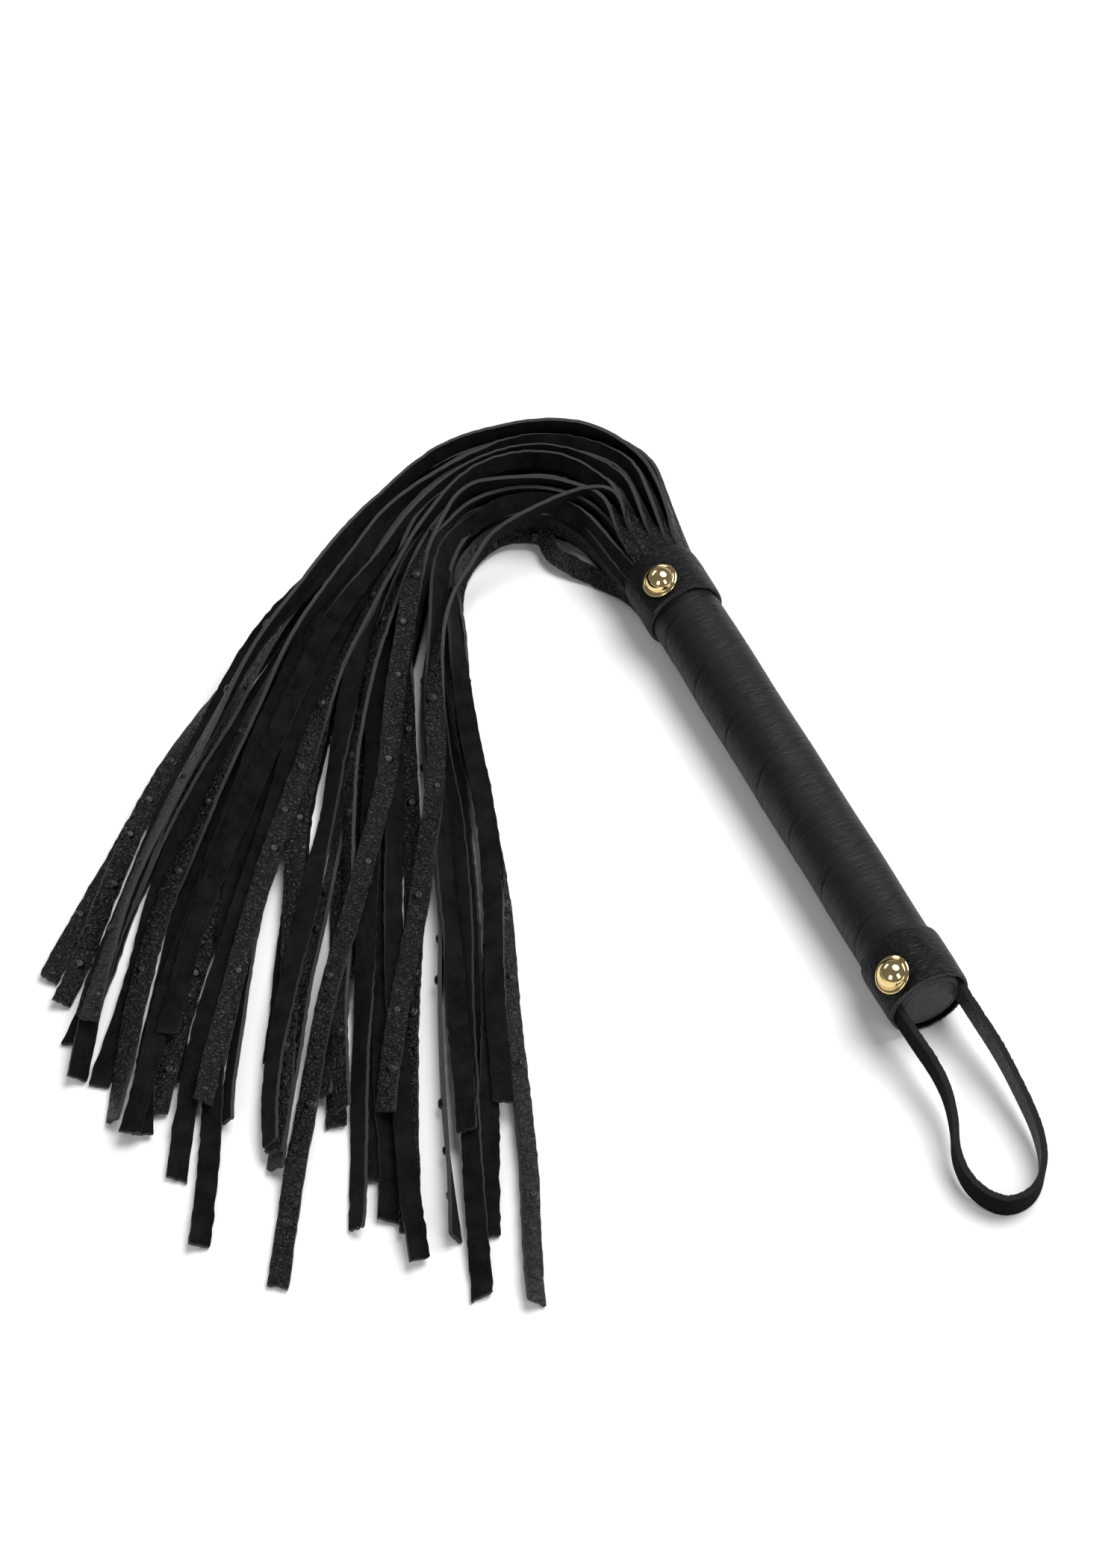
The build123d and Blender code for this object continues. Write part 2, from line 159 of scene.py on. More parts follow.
# ---- materials ----
class Nodes:
    """Short calls that add and link shader nodes."""

    def __init__(self, name):
        self.material = bpy.data.materials.new(name)
        self.material.use_nodes = True
        self.tree = self.material.node_tree
        self.shader = self.tree.nodes["Principled BSDF"]

    def add(self, kind, **settings):
        node = self.tree.nodes.new(kind)
        for key, value in settings.items():
            setattr(node, key, value)
        return node

    def link(self, output, node, name):
        self.tree.links.new(output, node.inputs[name])

    def place(self, scale=(1, 1, 1), attribute=None):
        """Object coordinates, or a stored place, stretched by scale."""
        if attribute:
            source = self.add("ShaderNodeAttribute", attribute_name=attribute).outputs["Vector"]
        else:
            source = self.add("ShaderNodeTexCoord").outputs["Object"]
        mapping = self.add("ShaderNodeMapping")
        mapping.inputs["Scale"].default_value = scale
        self.link(source, mapping, "Vector")
        return mapping.outputs["Vector"]

    def noise(self, where, scale, detail=3, rough=0.5, distortion=0):
        node = self.add("ShaderNodeTexNoise")
        node.inputs["Scale"].default_value = scale
        node.inputs["Detail"].default_value = detail
        node.inputs["Roughness"].default_value = rough
        node.inputs["Distortion"].default_value = distortion
        self.link(where, node, "Vector")
        return node.outputs["Fac"]

    def colour_noise(self, where, scale):
        node = self.add("ShaderNodeTexNoise")
        node.inputs["Scale"].default_value = scale
        node.inputs["Detail"].default_value = 2
        self.link(where, node, "Vector")
        return node.outputs["Color"]

    def cells(self, where, scale):
        node = self.add("ShaderNodeTexVoronoi", feature="DISTANCE_TO_EDGE")
        node.inputs["Scale"].default_value = scale
        self.link(where, node, "Vector")
        return node.outputs["Distance"]

    def ramp(self, value, *stops):
        node = self.add("ShaderNodeValToRGB")
        ramp = node.color_ramp
        while len(ramp.elements) < len(stops):
            ramp.elements.new(0.5)
        for element, (position, colour) in zip(ramp.elements, stops):
            element.position = position
            element.color = (*colour, 1) if hasattr(colour, "__len__") else (colour,) * 3 + (1,)
        self.link(value, node, "Fac")
        return node.outputs["Color"]

    def mix(self, share, first, second):
        """A share of the second colour in the first: a colour mix has them at 0, 6 and 7."""
        node = self.add("ShaderNodeMix", data_type="RGBA")
        for value, place in ((share, 0), (first, 6), (second, 7)):
            socket = node.inputs[place]
            if hasattr(value, "is_output"):
                self.tree.links.new(value, socket)
            else:
                socket.default_value = (*value, 1) if place else value
        return node.outputs[2]

    def bump(self, height, distance, strength=1, under=None):
        node = self.add("ShaderNodeBump")
        node.inputs["Strength"].default_value = strength
        node.inputs["Distance"].default_value = distance
        self.link(height, node, "Height")
        if under:
            self.link(under, node, "Normal")
        return node.outputs["Normal"]

    def finish(self, colour, roughness, normal=None, **sockets):
        for value, name in ((colour, "Base Color"), (roughness, "Roughness"), (normal, "Normal")):
            if value is not None:
                self.link(value, self.shader, name)
        for name, value in sockets.items():
            self.shader.inputs[name.replace("_", " ")].default_value = value
        return self.material


def grain_leather(name, dark, light, stretch=(1, 1, 1), attribute=None, wrinkle=0.0003, rough=0.45,
                  cell=850, crease=0.0, specular=0.36):
    """Smooth-side leather: pebbles parted by creases painted dark as painted shade, and crests worn a
    little paler.
    """
    n = Nodes(name)
    where = n.place(stretch, attribute)
    warp = n.noise(where, 420, 4, 0.65, 1.5)
    # The cells' outlines are bent a little: a vector mix has its vectors at 4 and 5.
    bent = n.add("ShaderNodeMix", data_type="VECTOR")
    bent.inputs[0].default_value = 0.0024
    n.tree.links.new(where, bent.inputs[4])
    n.tree.links.new(n.colour_noise(where, 260), bent.inputs[5])
    pebbles = n.cells(bent.outputs[1], cell)
    folds_and_shade = n.ramp(pebbles, (0.0, 0.0), (0.2, 1.0))
    patches = n.noise(n.place(attribute=attribute), 70, 3)
    tone = n.mix(n.ramp(warp, (0.32, 0.0), (0.66, 1.0)), dark, light)
    # Painted shade: the creases between the pebbles are painted in the dark tone; the same mask is also a
    # bump.
    tone = n.mix(folds_and_shade, dark, tone)
    tone = n.mix(n.ramp(patches, (0.35, 0.0), (0.75, 0.55)), tone, dark)
    gloss = n.ramp(warp, (0.3, rough + 0.14), (0.75, rough - 0.06))
    normal = n.bump(warp, wrinkle * 1.7)
    if crease:
        # Painted shade: the deep creases are painted darker still, at three tenths of the dark tone.
        deep_creases_and_shade = n.ramp(n.cells(bent.outputs[1], cell * 0.36), (0.0, 0.0), (0.13, 1.0))
        tone = n.mix(deep_creases_and_shade, tuple(value * 0.3 for value in dark), tone)
        normal = n.bump(deep_creases_and_shade, crease, 1.0, normal)
    normal = n.bump(folds_and_shade, wrinkle, 1.0, normal)
    return n.finish(tone, gloss, normal, Specular_IOR_Level=specular)


def grip_grain():
    """Stretched leather: fine lines run round the grip, their hollows painted darker than their crests,
    and its seam grooves painted near black, both as painted shade.
    """
    n = Nodes("grip_grain")
    lines = n.noise(n.place((0.14, 1.5, 0.14)), 700, 4, 0.62, 0.5)
    pores = n.noise(n.place((0.5, 1, 0.5)), 1500, 3, 0.6)
    patches = n.noise(n.place((1, 0.6, 1)), 55, 3)
    seam = n.add("ShaderNodeAttribute", attribute_name="seam").outputs["Fac"]
    shaded_hollow, crest = (0.0010, 0.0010, 0.0012), (0.0078, 0.0078, 0.0070)
    # Painted shade: the hollows of the fine lines are painted darker than their crests.
    tone = n.mix(n.ramp(lines, (0.4, 0.0), (0.68, 1.0)), shaded_hollow, crest)
    tone = n.mix(n.ramp(patches, (0.3, 0.0), (0.8, 0.7)), tone, (0.0018, 0.0018, 0.0019))
    # Painted shade: the seam's groove is painted near black, following its depth.
    tone = n.mix(seam, tone, (0.0008, 0.0008, 0.0008))
    normal = n.bump(lines, 0.00050)
    normal = n.bump(pores, 0.00008, 1.0, normal)
    gloss = n.ramp(lines, (0.3, 0.58), (0.75, 0.42))
    return n.finish(tone, gloss, normal, Specular_IOR_Level=0.24)


def suede_leather(name, dark, light, attribute=None):
    """The napped side: short fibres that swallow the light."""
    n = Nodes(name)
    where = n.place((1, 1, 1), attribute)
    nap = n.noise(where, 1100, 6, 0.8)
    patches = n.noise(where, 160, 4, 0.6)
    tone = n.mix(n.ramp(patches, (0.35, 0.0), (0.7, 0.7)), dark, light)
    tone = n.mix(n.ramp(nap, (0.5, 0.0), (0.78, 1.0)), tone, light)
    normal = n.bump(nap, 0.0006)
    return n.finish(tone, n.ramp(patches, (0.2, 0.9), (0.8, 1.0)), normal,
                    Specular_IOR_Level=0.05, Sheen_Weight=0.022, Sheen_Roughness=0.4)


def cut_edge(name, dark, light, attribute=None):
    """The raw cut through the hide, with its fibres showing, far paler than the faces: partly the fibres'
    own colour, partly a painted highlight.
    """
    n = Nodes(name)
    where = n.place((1, 1, 1), attribute)
    fibres = n.noise(where, 1100, 5, 0.7)
    worn = n.noise(where, 90, 3)
    tone = n.mix(n.ramp(fibres, (0.3, 0.0), (0.7, 1.0)), dark, light)
    tone = n.mix(n.ramp(worn, (0.3, 0.0), (0.7, 0.6)), tone, dark)
    return n.finish(tone, n.ramp(fibres, (0.2, 0.65), (0.8, 0.85)), n.bump(fibres, 0.00025),
                    Specular_IOR_Level=0.3)


def gold_metal():
    """Polished pale gold plate with faint scratches and a trace of dulling."""
    n = Nodes("gold")
    where = n.place()
    haze = n.noise(where, 500, 4)
    scratches = n.noise(n.place((1, 14, 1)), 900, 2)
    tone = n.mix(n.ramp(haze, (0.35, 0.0), (0.8, 0.5)), (0.80, 0.61, 0.29), (0.58, 0.42, 0.17))
    return n.finish(tone, n.ramp(haze, (0.3, 0.03), (0.8, 0.07)), n.bump(scratches, 0.000002),
                    Metallic=1.0)


def wood():
    """The turned core, hidden under the leather."""
    n = Nodes("core_wood")
    rings = n.noise(n.place((40, 1, 40)), 12, 6, 0.6)
    tone = n.ramp(rings, (0.3, (0.28, 0.17, 0.09)), (0.7, (0.45, 0.30, 0.17)))
    return n.finish(tone, n.ramp(rings, (0.2, 0.55), (0.8, 0.7)), n.bump(rings, 0.0002))


def table_top():
    """Pale, plain and matt."""
    n = Nodes("table_top")
    n.shader.inputs["Base Color"].default_value = (0.88, 0.88, 0.89, 1)
    n.shader.inputs["Roughness"].default_value = 0.9
    n.shader.inputs["Specular IOR Level"].default_value = 0.1
    return n.material


# Each leather's grain, suede and cut edge, darkest and lightest tone first.
THONG_MATERIALS = [
    # Its creases are painted dark, and its deep creases darker still, as painted shade.
    grain_leather("thong_grain", (0.0020, 0.0021, 0.0023), (0.0165, 0.0170, 0.0180), (1, 0.7, 1),
                  "place", wrinkle=0.00065, rough=0.42, cell=750, crease=0.0009),
    suede_leather("thong_suede", (0.0026, 0.0027, 0.0028), (0.0135, 0.0138, 0.0140), "place"),
    # Partly painted highlight: the thongs' cut edges are painted far paler than their faces.
    cut_edge("thong_edge", (0.014, 0.0145, 0.0155), (0.085, 0.090, 0.098), "place"),
]
STRAP_MATERIALS = [
    grain_leather("strap_grain", (0.0038, 0.0040, 0.0045), (0.0125, 0.0130, 0.0145), (1, 0.7, 1),
                  "place", rough=0.46),
    suede_leather("strap_suede", (0.0014, 0.0014, 0.0015), (0.0060, 0.0060, 0.0062), "place"),
    cut_edge("strap_edge", (0.004, 0.004, 0.0045), (0.022, 0.023, 0.025), "place"),
]
COLLAR_MATERIALS = [
    grain_leather("collar_grain", (0.0012, 0.0013, 0.0014), (0.0056, 0.0058, 0.0062), (0.35, 1, 1),
                  "place", wrinkle=0.0002, rough=0.46, specular=0.17),
    suede_leather("collar_suede", (0.0014, 0.0014, 0.0015), (0.0050, 0.0050, 0.0053), "place"),
    # Partly painted highlight: the collars' cut edges are painted far paler than their faces.
    cut_edge("collar_edge", (0.022, 0.023, 0.025), (0.095, 0.100, 0.108), "place"),
]
# Painted shade: the quill bumps get a darker leather than the strips they sit on, standing in for their
# shade.
SHADED_BUMP_LEATHER = grain_leather("bump_grain_painted_shade", (0.0012, 0.0012, 0.0013), (0.0040, 0.0041, 0.0044),
                             attribute="place", wrinkle=0.00005, rough=0.36)
GRIP_LEATHER = grip_grain()
# Painted light: the disc's leather is painted many times paler than the rest, standing in for the front
# light it faces.
LIT_DISC_LEATHER = grain_leather("disc_grain_painted_light", (0.026, 0.026, 0.0305), (0.052, 0.052, 0.059),
                             wrinkle=0.0001, rough=0.5, cell=1300)
GOLD = gold_metal()
WOOD = wood()


# ---- mesh helpers ----
def add_mesh(name, points, faces, materials, face_materials=None, places=None, sharp=None):
    """A smooth mesh, with a material for each face and sharp edges where asked."""
    mesh = bpy.data.meshes.new(name)
    mesh.from_pydata([tuple(p) for p in points], [], [tuple(f) for f in faces])
    for material in materials:
        mesh.materials.append(material)
    mesh.polygons.foreach_set("use_smooth", [True] * len(mesh.polygons))
    if face_materials is not None:
        mesh.polygons.foreach_set("material_index", [int(i) for i in face_materials])
    if places is not None:
        attribute = mesh.attributes.new("place", "FLOAT_VECTOR", "POINT")
        attribute.data.foreach_set("vector", np.asarray(places, np.float32).ravel())
    if sharp:
        flags = [(min(e.vertices), max(e.vertices)) in sharp for e in mesh.edges]
        mesh.edges.foreach_set("use_edge_sharp", flags)
    mesh.update()
    obj = bpy.data.objects.new(name, mesh)
    bpy.context.scene.collection.objects.link(obj)
    return obj


def join(name, objects):
    """Joins objects into the first one."""
    with bpy.context.temp_override(active_object=objects[0], selected_editable_objects=objects):
        bpy.ops.object.join()
    objects[0].name = name
    objects[0].data.name = name
    return objects[0]


def spline_line(points, step):
    """Evenly spaced points read from the smooth spline that has these control points."""
    curve = bpy.data.curves.new("route", "CURVE")
    curve.dimensions = "3D"
    curve.resolution_u = 16
    spline = curve.splines.new("NURBS")
    spline.points.add(len(points) - 1)
    for control, point in zip(spline.points, points):
        control.co = (*point, 1)
    spline.order_u = 3
    spline.use_endpoint_u = True
    route = bpy.data.objects.new("route", curve)
    mesh = bpy.data.meshes.new_from_object(route)
    line = np.array([v.co for v in mesh.vertices], float)
    bpy.data.meshes.remove(mesh)
    bpy.data.curves.remove(curve)
    along = run_lengths(line)
    places = np.linspace(0, along[-1], ceil(along[-1] / step) + 1)
    return np.stack([np.interp(places, along, line[:, k]) for k in range(3)], axis=1)


def run_lengths(line):
    """How far along the line each of its points is."""
    return np.concatenate([[0], np.cumsum(np.linalg.norm(np.diff(line, axis=0), axis=1))])


def unit(vectors):
    """The same vectors, each one long."""
    return vectors / np.maximum(np.linalg.norm(vectors, axis=-1, keepdims=True), 1e-12)


def soften(values, reach, step):
    """A running average with a bell-shaped weight, reach wide, of values a step apart."""
    half = max(1, int(3 * reach / step))
    weight = np.exp(-0.5 * (np.arange(-half, half + 1) * step / reach) ** 2)
    padded = np.pad(values, half, mode="edge")
    return np.convolve(padded, weight / weight.sum(), mode="valid")


def highest_near(values, reach, step):
    """The highest value within reach of each place."""
    half = max(1, int(reach / step))
    padded = np.pad(values, half, mode="edge")
    return np.array([padded[i:i + 2 * half + 1].max() for i in range(len(values))])


class Strip:
    """A cut strip of leather: grain on one face, suede on the other, and raw edges.

    A roll of 0 has the grain up, and a quarter turn either way stands the strip on edge.
    Each face has a number of points across it, and the last ring may be cut a little torn.
    """

    END_SLANT = 0.16
    END_TEAR = 0.00022

    def __init__(self, line, rolls, width, thickness, seed, sides=None, cup=0.0002, ragged=0.00012,
                 across=7, torn_end=True):
        ways = unit(np.gradient(line, axis=0))
        sides = unit(np.cross(ways, UP)) if sides is None else sides
        lifts = unit(np.cross(sides, ways))
        cosines, sines = np.cos(rolls)[:, None], np.sin(rolls)[:, None]
        self.line = line
        self.across = across
        self.widths = cosines * sides + sines * lifts
        self.normals = cosines * lifts - sines * sides
        self.thickness = thickness
        self.cup = cup
        rng = np.random.default_rng(seed)
        self.halves = width / 2 + rng.normal(0, 1, (len(line), 2)) * ragged
        self.slant = rng.normal(0, self.END_SLANT)
        self.torn = rng.normal(0, self.END_TEAR, across) if torn_end else np.zeros(across)
        self.ways = ways
        self.seed = seed

    def ring_points(self, start, stop):
        """All points of the rings from start to stop, ring by ring, and their places.

        A place is how far along and across the strip a point is, and its face's number, so
        that no two faces have the same pattern.
        """
        share = np.linspace(-1, 1, self.across)
        points, places = [], []
        along = run_lengths(self.line)
        for k in range(start, stop):
            offsets = np.where(share < 0, share * self.halves[k, 0], share * self.halves[k, 1])
            cup = self.cup * (1 - share ** 2)
            for sign, order in ((1, slice(None)), (-1, slice(None, None, -1))):
                lift = (sign * self.thickness / 2 + cup)[order]
                across = offsets[order]
                ring = self.line[k] + across[:, None] * self.widths[k] + lift[:, None] * self.normals[k]
                if k == len(self.line) - 1:
                    ring += (across * self.slant + self.torn[order])[:, None] * self.ways[k]
                points.append(ring)
                places.append(np.stack([np.full(len(across), along[k]), across,
                                        np.full(len(across), self.face_number(sign))], axis=1))
        return np.concatenate(points), np.concatenate(places)

    def face_number(self, sign):
        """A number of its own for the grain side, 1, or the suede side, -1, of this strip."""
        return self.seed * 0.37 + sign * 0.05

    def build(self, name, materials, start=0, stop=None, caps=(True, True)):
        """The mesh of the rings from start to stop, closed at its ends where asked."""
        stop = len(self.line) if stop is None else stop
        points, places = self.ring_points(start, stop)
        count = 2 * self.across
        faces, kinds, sharp = [], [], set()
        for k in range(stop - start - 1):
            here, after = k * count, (k + 1) * count
            for j in range(count):
                following = (j + 1) % count
                faces.append((here + j, here + following, after + following, after + j))
                on_edge = j in (self.across - 1, count - 1)
                kinds.append(2 if on_edge else 0 if j < self.across - 1 else 1)
                if on_edge:
                    sharp.add((here + j, after + j))
                    sharp.add((here + following, after + following))
        for wanted, ring, turn in ((caps[0], 0, 1), (caps[1], stop - start - 1, -1)):
            if wanted:
                base = ring * count
                for j in range(self.across - 1):
                    quad = (base + j, base + count - 1 - j, base + count - 2 - j, base + j + 1)
                    faces.append(quad[::turn])
                    kinds.append(2)
                for j in range(count):
                    a, b = base + j, base + (j + 1) % count
                    sharp.add((min(a, b), max(a, b)))
        return add_mesh(name, points, faces, materials, kinds, places, sharp)


# A bump's section: shares of its radius and of its height, from the middle outward.
BUMP_PROFILE = [(0.0, 0.72), (0.2, 0.86), (0.4, 0.92), (0.58, 0.78), (0.72, 0.45), (0.8, 0.12),
                (0.9, 0.0), (1.0, -0.12)]


def quill_bump(centre, normal, radius, height, materials, place):
    """A small dome left by a quill, with a dimple on top and its skirt sunk in the leather."""
    turn = Vector(normal).to_track_quat("Z", "Y").to_matrix()
    around = 14
    points, faces, places = [], [], []
    for i, (share, rise) in enumerate(BUMP_PROFILE):
        for j in range(around if i else 1):
            angle = 2 * pi * j / around
            local = Vector((radius * share * cos(angle), radius * share * sin(angle), height * rise))
            points.append(Vector(centre) + turn @ local)
            places.append((place[0] + local.x, place[1] + local.y, place[2]))
    for j in range(around):
        faces.append((0, 1 + j, 1 + (j + 1) % around))
    for i in range(1, len(BUMP_PROFILE) - 1):
        a, b = 1 + (i - 1) * around, 1 + i * around
        for j in range(around):
            faces.append((a + j, b + j, b + (j + 1) % around, a + (j + 1) % around))
    return add_mesh("bump", points, faces, materials, None, places)


# ---- camera ----
def add_camera():
    """A long lens that looks down on the object from the butt's side."""
    data = bpy.data.cameras.new("camera")
    data.lens = 82.7
    data.sensor_width = 36
    camera = bpy.data.objects.new("camera", data)
    camera.location = (-0.3725, -0.6135, 0.945)
    aim = Vector((-0.0647, 0.062, 0.0)) - camera.location
    camera.rotation_euler = aim.to_track_quat("-Z", "Y").to_euler()
    bpy.context.scene.collection.objects.link(camera)
    bpy.context.scene.camera = camera


# ---- the fall ----
def between(place, index):
    """The point at a place between the two borders, at a whole or part index."""
    low = min(int(index), len(INNER_ROUTE) - 2)
    part = index - low
    x_in, y_in = (a + (b - a) * part for a, b in zip(INNER_ROUTE[low], INNER_ROUTE[low + 1]))
    x_out, y_out = (a + (b - a) * part for a, b in zip(OUTER_ROUTE[low], OUTER_ROUTE[low + 1]))
    return x_in + (x_out - x_in) * place, PIVOT_Y + y_in + (y_out - y_in) * place


def plan_route(lane, fan, reach, bow):
    """A thong's points in plan, from the root to its cut end, and their indices."""
    last_whole = ceil(reach) - 2
    indices = list(range(last_whole + 1)) + [(last_whole + reach) / 2, reach]
    points = []
    for index in indices:
        spread = max(0.0, (index - LAST_ARCH_POINT) / (reach - LAST_ARCH_POINT))
        crossed = spread * spread * (3 - 2 * spread)
        x, y = between(lane + (fan - lane) * crossed, index)
        points.append((x + bow * sin(pi * spread) ** 2, y))
    return points, indices


def mouth_place(rank, count, level):
    """Where a thong leaves the mouth: the lanes and levels squeezed into a disc."""
    u, v = 2 * rank / (count - 1) - 1, 2 * level / (len(LEVELS) - 1) - 1
    if max(abs(u), abs(v)) < 1e-9:
        return 0.0, 0.0
    stretch = max(abs(u), abs(v)) / (u * u + v * v) ** 0.5
    return u * stretch * MOUTH_FILL, v * stretch * MOUTH_FILL


def level_height(level):
    """The height of a level's centre lines at the root."""
    return LOWEST_LEVEL + LEVEL_STEP * level


class Ground:
    """The height of what has been laid so far, over a grid of the table."""

    CELL = 0.0008
    CORNER = np.array([-0.36, -0.20])
    COUNTS = (620, 560)

    def __init__(self):
        self.tops = np.zeros(self.COUNTS)

    def cells(self, points):
        at = np.rint((points[..., :2] - self.CORNER) / self.CELL).astype(int)
        return tuple(at[..., k].clip(0, self.COUNTS[k] - 1) for k in range(2))

    def under(self, points):
        return self.tops[self.cells(points)]

    def lay(self, points):
        np.maximum.at(self.tops, self.cells(points), points[..., 2])


class Thong:
    """One thong's line, roll and place in the pile.

    Its index tells how far along each point of its line is: 0 at the first border point,
    1 at the next, and from -3 to 0 between the mouth and there.
    """

    def __init__(self, number, level, rank, count, row):
        lane, fan, reach, bow, self.top = row
        self.number, self.level = number, level
        self.rng = np.random.default_rng(100 + number)
        across, up = mouth_place(rank, count, level)
        self.mouth_angle = np.arctan2(-across, up) if across or up else 0.0
        self.ring = min(1.0, np.hypot(across, up) / MOUTH_FILL)
        lane = lane * LEVEL_SPREAD[level]
        plan, indices = plan_route(lane, fan, reach, bow)
        plan = [self.loosened(x, y, index, lane) for (x, y), index in zip(plan, indices)]
        route = self.mouth_route(across, up, plan[0][0])
        route += [(x, y, level_height(level)) for x, y in plan]
        indices = [-3, -2, -1] + indices
        strays = STRAYS.get(number, {})
        shifts = [strays.get(index, (0, 0, 0)) for index in indices]
        route = [tuple(np.add(point, shift)) for point, shift in zip(route, shifts)]
        self.line = spline_line(route, THONG_STEP)
        self.along = run_lengths(self.line)
        corners = run_lengths(np.array(route))
        self.index = np.interp(self.along / self.along[-1], corners / corners[-1], indices)
        self.lift = np.interp(self.index, indices, [shift[2] for shift in shifts])
        self.waver()

    def mouth_route(self, across, up, root_x):
        """The route's points inside the mouth, just beyond it, and halfway to the root's face."""
        flare = 1.03
        halfway = (root_x * 0.55 + across * 0.50, (MOUTH_Y + ROOT_FACE_Y) / 2,
                   (level_height(self.level) + AXIS_Z + up) / 2)
        return [(across, MOUTH_Y - 0.006, AXIS_Z + up),
                (across * flare, MOUTH_Y + 0.002, AXIS_Z + up * flare), halfway]

    def loosened(self, x, y, index, lane):
        """A route point moved a little: outward at the turn's outer side, and at random."""
        away = np.array([x, y]) - TURN_MIDDLE
        away /= np.hypot(*away)
        in_turn = float(smooth(-0.5, 1.0, index) * (1 - smooth(1.5, 4.0, index)))
        swell = OUTER_SWELL * lane ** 2 * in_turn
        jitter = self.rng.normal(0, ARCH_JITTER if index < 6 else FAN_JITTER)
        if lane > OUTER_LANE:
            jitter *= OUTER_CALM
        return tuple(np.array([x, y]) + away * (swell + jitter * min(1.0, index / 2)))

    def random_wave(self, reach, size):
        """A random wave along the line, reach wide, whose standard deviation is size."""
        wave = soften(self.rng.normal(0, 1, len(self.line)), reach, THONG_STEP)
        return wave * (size / max(1e-9, wave.std()))

    def waver(self):
        """Gentle sideways waves along the cut strip."""
        ways = unit(np.gradient(self.line, axis=0))
        sides = unit(np.cross(ways, UP))
        wave = self.random_wave(0.016, 0.0005) * smooth(1, 4, self.index)
        self.line += wave[:, None] * sides

    def base_roll(self):
        """The roll before it settles: round the mouth, on edge in the arch, then over to its rest.

        The grain faces out of the arch, or into it for every other thong at the mouth's
        inner rim.
        """
        start = self.mouth_angle
        rim = self.ring > 0.8
        inward = rim and pi / 4 < start < 3 * pi / 4 and self.number % 2 == 0
        if start > pi / 4 and not inward:
            start -= 2 * pi if start > 3 * pi / 4 else pi
        arch = pi / 2 if inward else -pi / 2
        if not rim:
            start = arch
        if self.top == "lean":
            start = arch = radians(52)
        rest = {"grain": 0.0, "suede": 2 * arch, "edge": arch, "lean": arch * 0.55}[self.top]
        if self.top in ("grain", "suede"):
            rest += np.sign(arch) * radians(self.rng.choice(REST_LEANS))
        turn_from = self.rng.uniform(2.8, 5.4)
        turn_to = turn_from + self.rng.uniform(2.4, 4.6)
        roll = start + (arch - start) * smooth(-2.2, 0.6, self.index)
        roll += (rest - arch) * smooth(turn_from, turn_to, self.index)
        in_arch = smooth(-0.5, 1.5, self.index) * (1 - smooth(5.5, 8, self.index))
        amount = radians(13) * in_arch + radians(6)
        return roll + self.random_wave(0.022, 1.0) * amount * smooth(-1.5, 1, self.index)

    def arch_height(self):
        """The height it is held at by the bundle, which fades out past the arch."""
        wave = self.random_wave(0.02, 0.0010) * smooth(0, 1.5, self.index)
        sag = 0.0005 * self.level * smooth(0, 3, self.index)
        held = level_height(self.level) + wave - sag + self.lift
        return held * (1 - smooth(3.6, 8.0, self.index))

    def settle(self, ground):
        """Lets it down onto what lies under it, leaning with the ground."""
        across = np.linspace(-0.5, 0.5, 9) * THONG_WIDTH
        sides = unit(np.cross(unit(np.gradient(self.line, axis=0)), UP))

        def ground_below(roll):
            spread = (across * np.cos(roll)[:, None])[..., None] * sides[:, None, :]
            return ground.under(self.line[:, None, :] + spread)

        # It leans with the slope under it, the more the flatter it lies.
        roll = self.base_roll()
        below = ground_below(roll)
        facing = np.where(np.cos(roll) < 0, -1.0, 1.0)
        climb = (below[:, 6:].max(axis=1) - below[:, :3].max(axis=1)) * facing
        slope = np.arctan2(climb, THONG_WIDTH * 0.8).clip(-0.45, 0.45)
        lean = slope * np.cos(roll) ** 2 * smooth(0.5, 2.5, self.index)
        roll = roll + soften(lean, 0.009, THONG_STEP)
        # It clears the highest thing under and near it, and in the arch the bundle holds it.
        cosine, sine = np.abs(np.cos(roll)), np.abs(np.sin(roll))
        half_height = (THONG_WIDTH * sine + THONG_THICKNESS * cosine) / 2
        rise = THONG_THICKNESS / 2 * cosine[:, None] - across * np.sin(roll)[:, None]
        need = (ground_below(roll) + rise).max(axis=1) + STRIP_GAP
        need = np.maximum(need, half_height + REST_GAP)
        laid = soften(highest_near(need, 0.007, THONG_STEP), 0.006, THONG_STEP)
        held = self.arch_height()
        fade = smooth(3.0, 6.5, self.index)
        height = np.where(self.index < 3.0, held, np.maximum(held, laid * fade + held * (1 - fade)))
        height = np.maximum(soften(height, 0.005, THONG_STEP), half_height + REST_GAP)
        blend = smooth(-0.2, 1.2, self.index)
        self.line[:, 2] = self.line[:, 2] * (1 - blend) + height * blend
        self.roll = roll
        self.cover(ground, across, sides)

    def cover(self, ground, across, sides):
        """Adds the strip's own body to the ground, apart from its part in the arch."""
        cosine, sine = np.cos(self.roll)[:, None], np.sin(self.roll)[:, None]
        dense = np.linspace(0, len(self.line) - 1, 3 * len(self.line))
        dense = dense[dense > np.searchsorted(self.index, 2.0)]
        rows = np.arange(len(self.line))
        line, widths, normals = [
            np.stack([np.interp(dense, rows, values[:, k]) for k in range(3)], axis=1)
            for values in (self.line, cosine * sides + sine * UP, cosine * UP - sine * sides)]
        flat = line[:, None, :] + across[None, :, None] * widths[:, None, :]
        for side in (-0.5, 0, 0.5):
            body = flat + side * THONG_THICKNESS * normals[:, None, :]
            ground.lay(body + [0, 0, THONG_THICKNESS * 0.1])

    def seam(self):
        """The first ring past the root's face."""
        return int(np.argmax(self.line[:, 1] > ROOT_FACE_Y))

